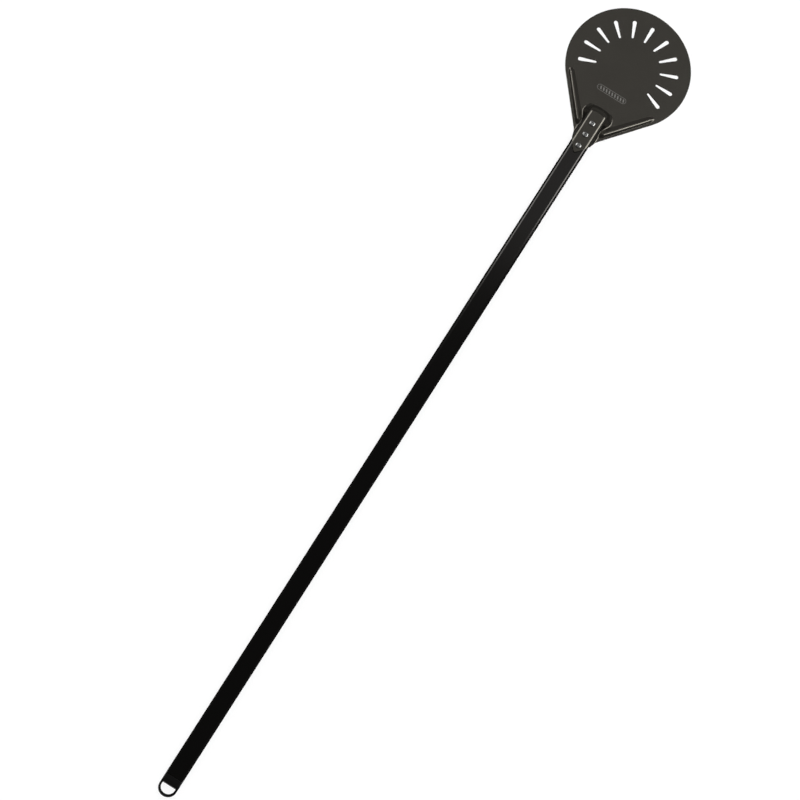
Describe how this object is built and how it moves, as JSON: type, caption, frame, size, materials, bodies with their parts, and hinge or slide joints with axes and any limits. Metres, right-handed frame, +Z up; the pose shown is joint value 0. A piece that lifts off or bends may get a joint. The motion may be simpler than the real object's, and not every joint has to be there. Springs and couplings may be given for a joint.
{
  "type": "pizza peel",
  "caption": "Round perforated turning peel: a pressed thin head riveted to a long flat-oval tube handle with a hanging loop at its end.",
  "frame": {"origin": "on the surface that the peel lies on, midway between the loop's end and the head's rim, on the handle's centre line", "axes": "+Y along the handle towards the head, +Z up out of the blade's upper face, +X across"},
  "size_m": [0.2032, 1.524, 0.0187],
  "materials": {
    "anodised_blade": "hard-anodised warm dark grey, satin",
    "anodised_tube": "hard-anodised near black, satin",
    "bare_aluminium": "bare bright aluminium",
    "mandrel_steel": "plain steel, broken end",
    "black_plastic": "moulded black, fine matt"
  },
  "bodies": {
    "root": {"blade": "anodised_blade", "handle_tube": "anodised_tube", "end_cap": "black_plastic", "rivet_body_1": "bare_aluminium", "rivet_body_2": "bare_aluminium", "rivet_body_3": "bare_aluminium", "rivet_mandrel_1": "mandrel_steel", "rivet_mandrel_2": "mandrel_steel", "rivet_mandrel_3": "mandrel_steel"}
  },
  "joints": []
}
